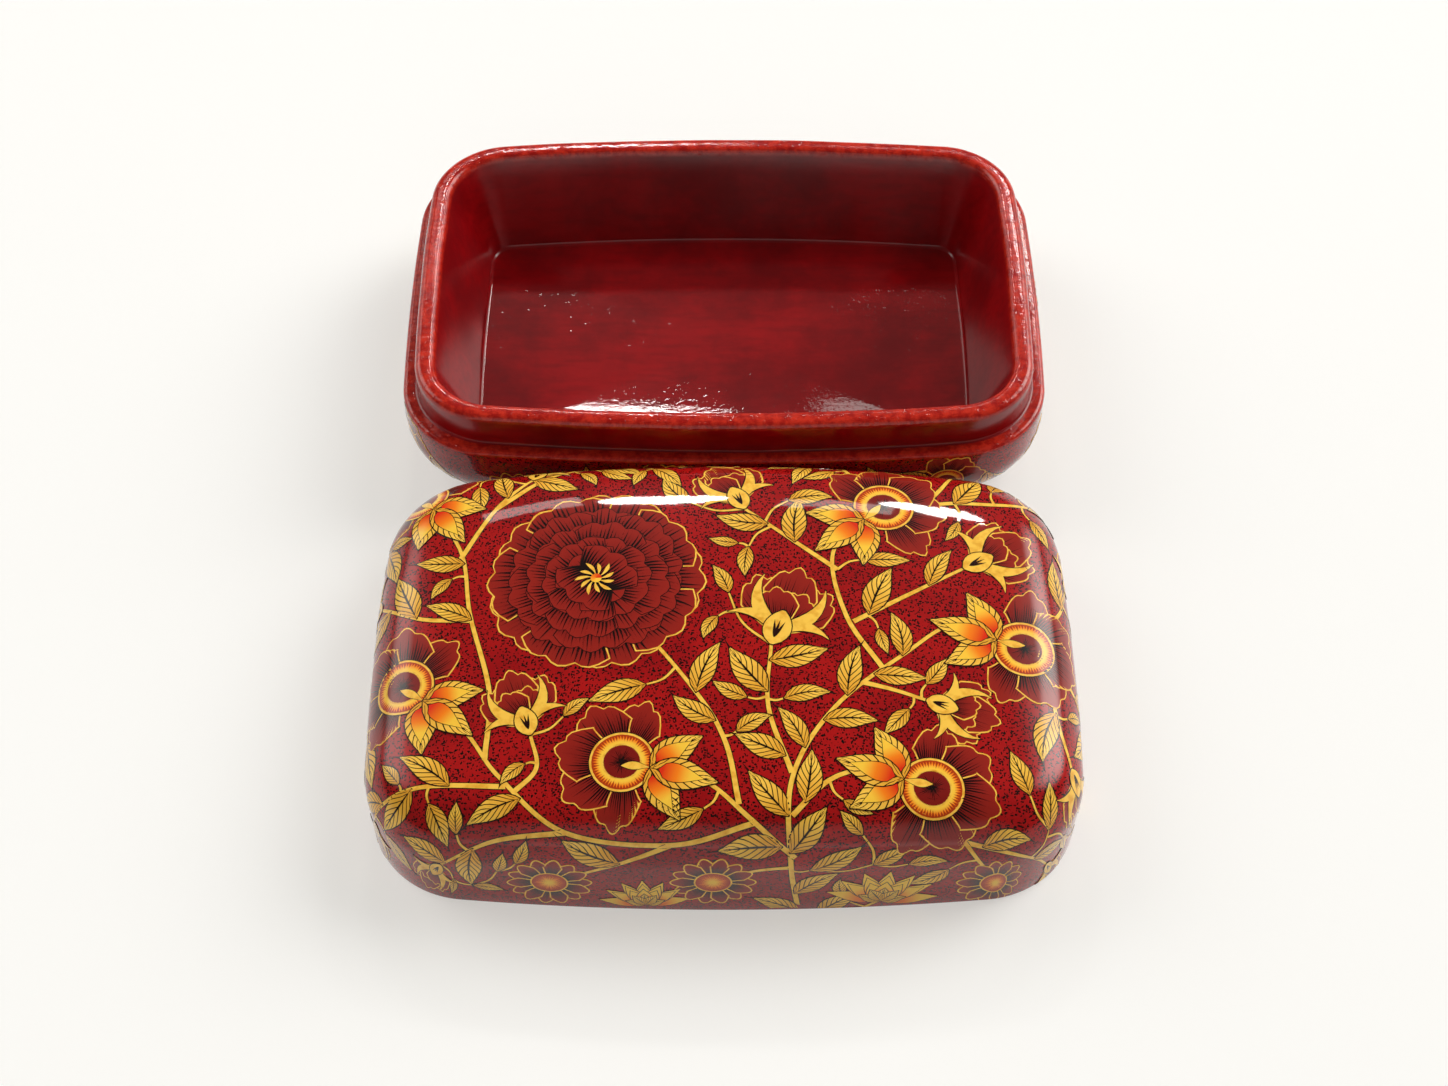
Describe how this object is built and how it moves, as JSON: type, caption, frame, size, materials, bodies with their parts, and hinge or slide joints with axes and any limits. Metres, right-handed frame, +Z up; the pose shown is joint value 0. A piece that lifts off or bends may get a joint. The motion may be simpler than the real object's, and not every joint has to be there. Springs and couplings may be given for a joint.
{
  "type": "papier mache box",
  "caption": "Oblong papier mache box with bowed sides and rounded corners: an open tray with a raised neck, and a domed lift-off lid, lacquered red with painted flowers.",
  "frame": {"origin": "middle of the tray's underside, on the table", "axes": "+Z up, +X to the right along the box's length, -Y to the front, where the lid lies"},
  "size_m": [0.2, 0.2685, 0.042],
  "materials": {
    "painted_lacquer": "red ground with painted flowers under thick gloss lacquer, over moulded paper pulp",
    "crimson_lacquer": "plain crimson gloss lacquer with brush ripples, over moulded paper pulp"
  },
  "bodies": {
    "tray": {"base_shell": "painted_lacquer", "neck_liner": "crimson_lacquer", "floor_board": "crimson_lacquer"},
    "lid": {"lid_shell": "painted_lacquer"}
  },
  "joints": [
    {"name": "lid_lift", "type": "slide", "parent": "tray", "child": "lid", "axis": [0, 0, 1], "range_m": [0, 0.1]}
  ]
}
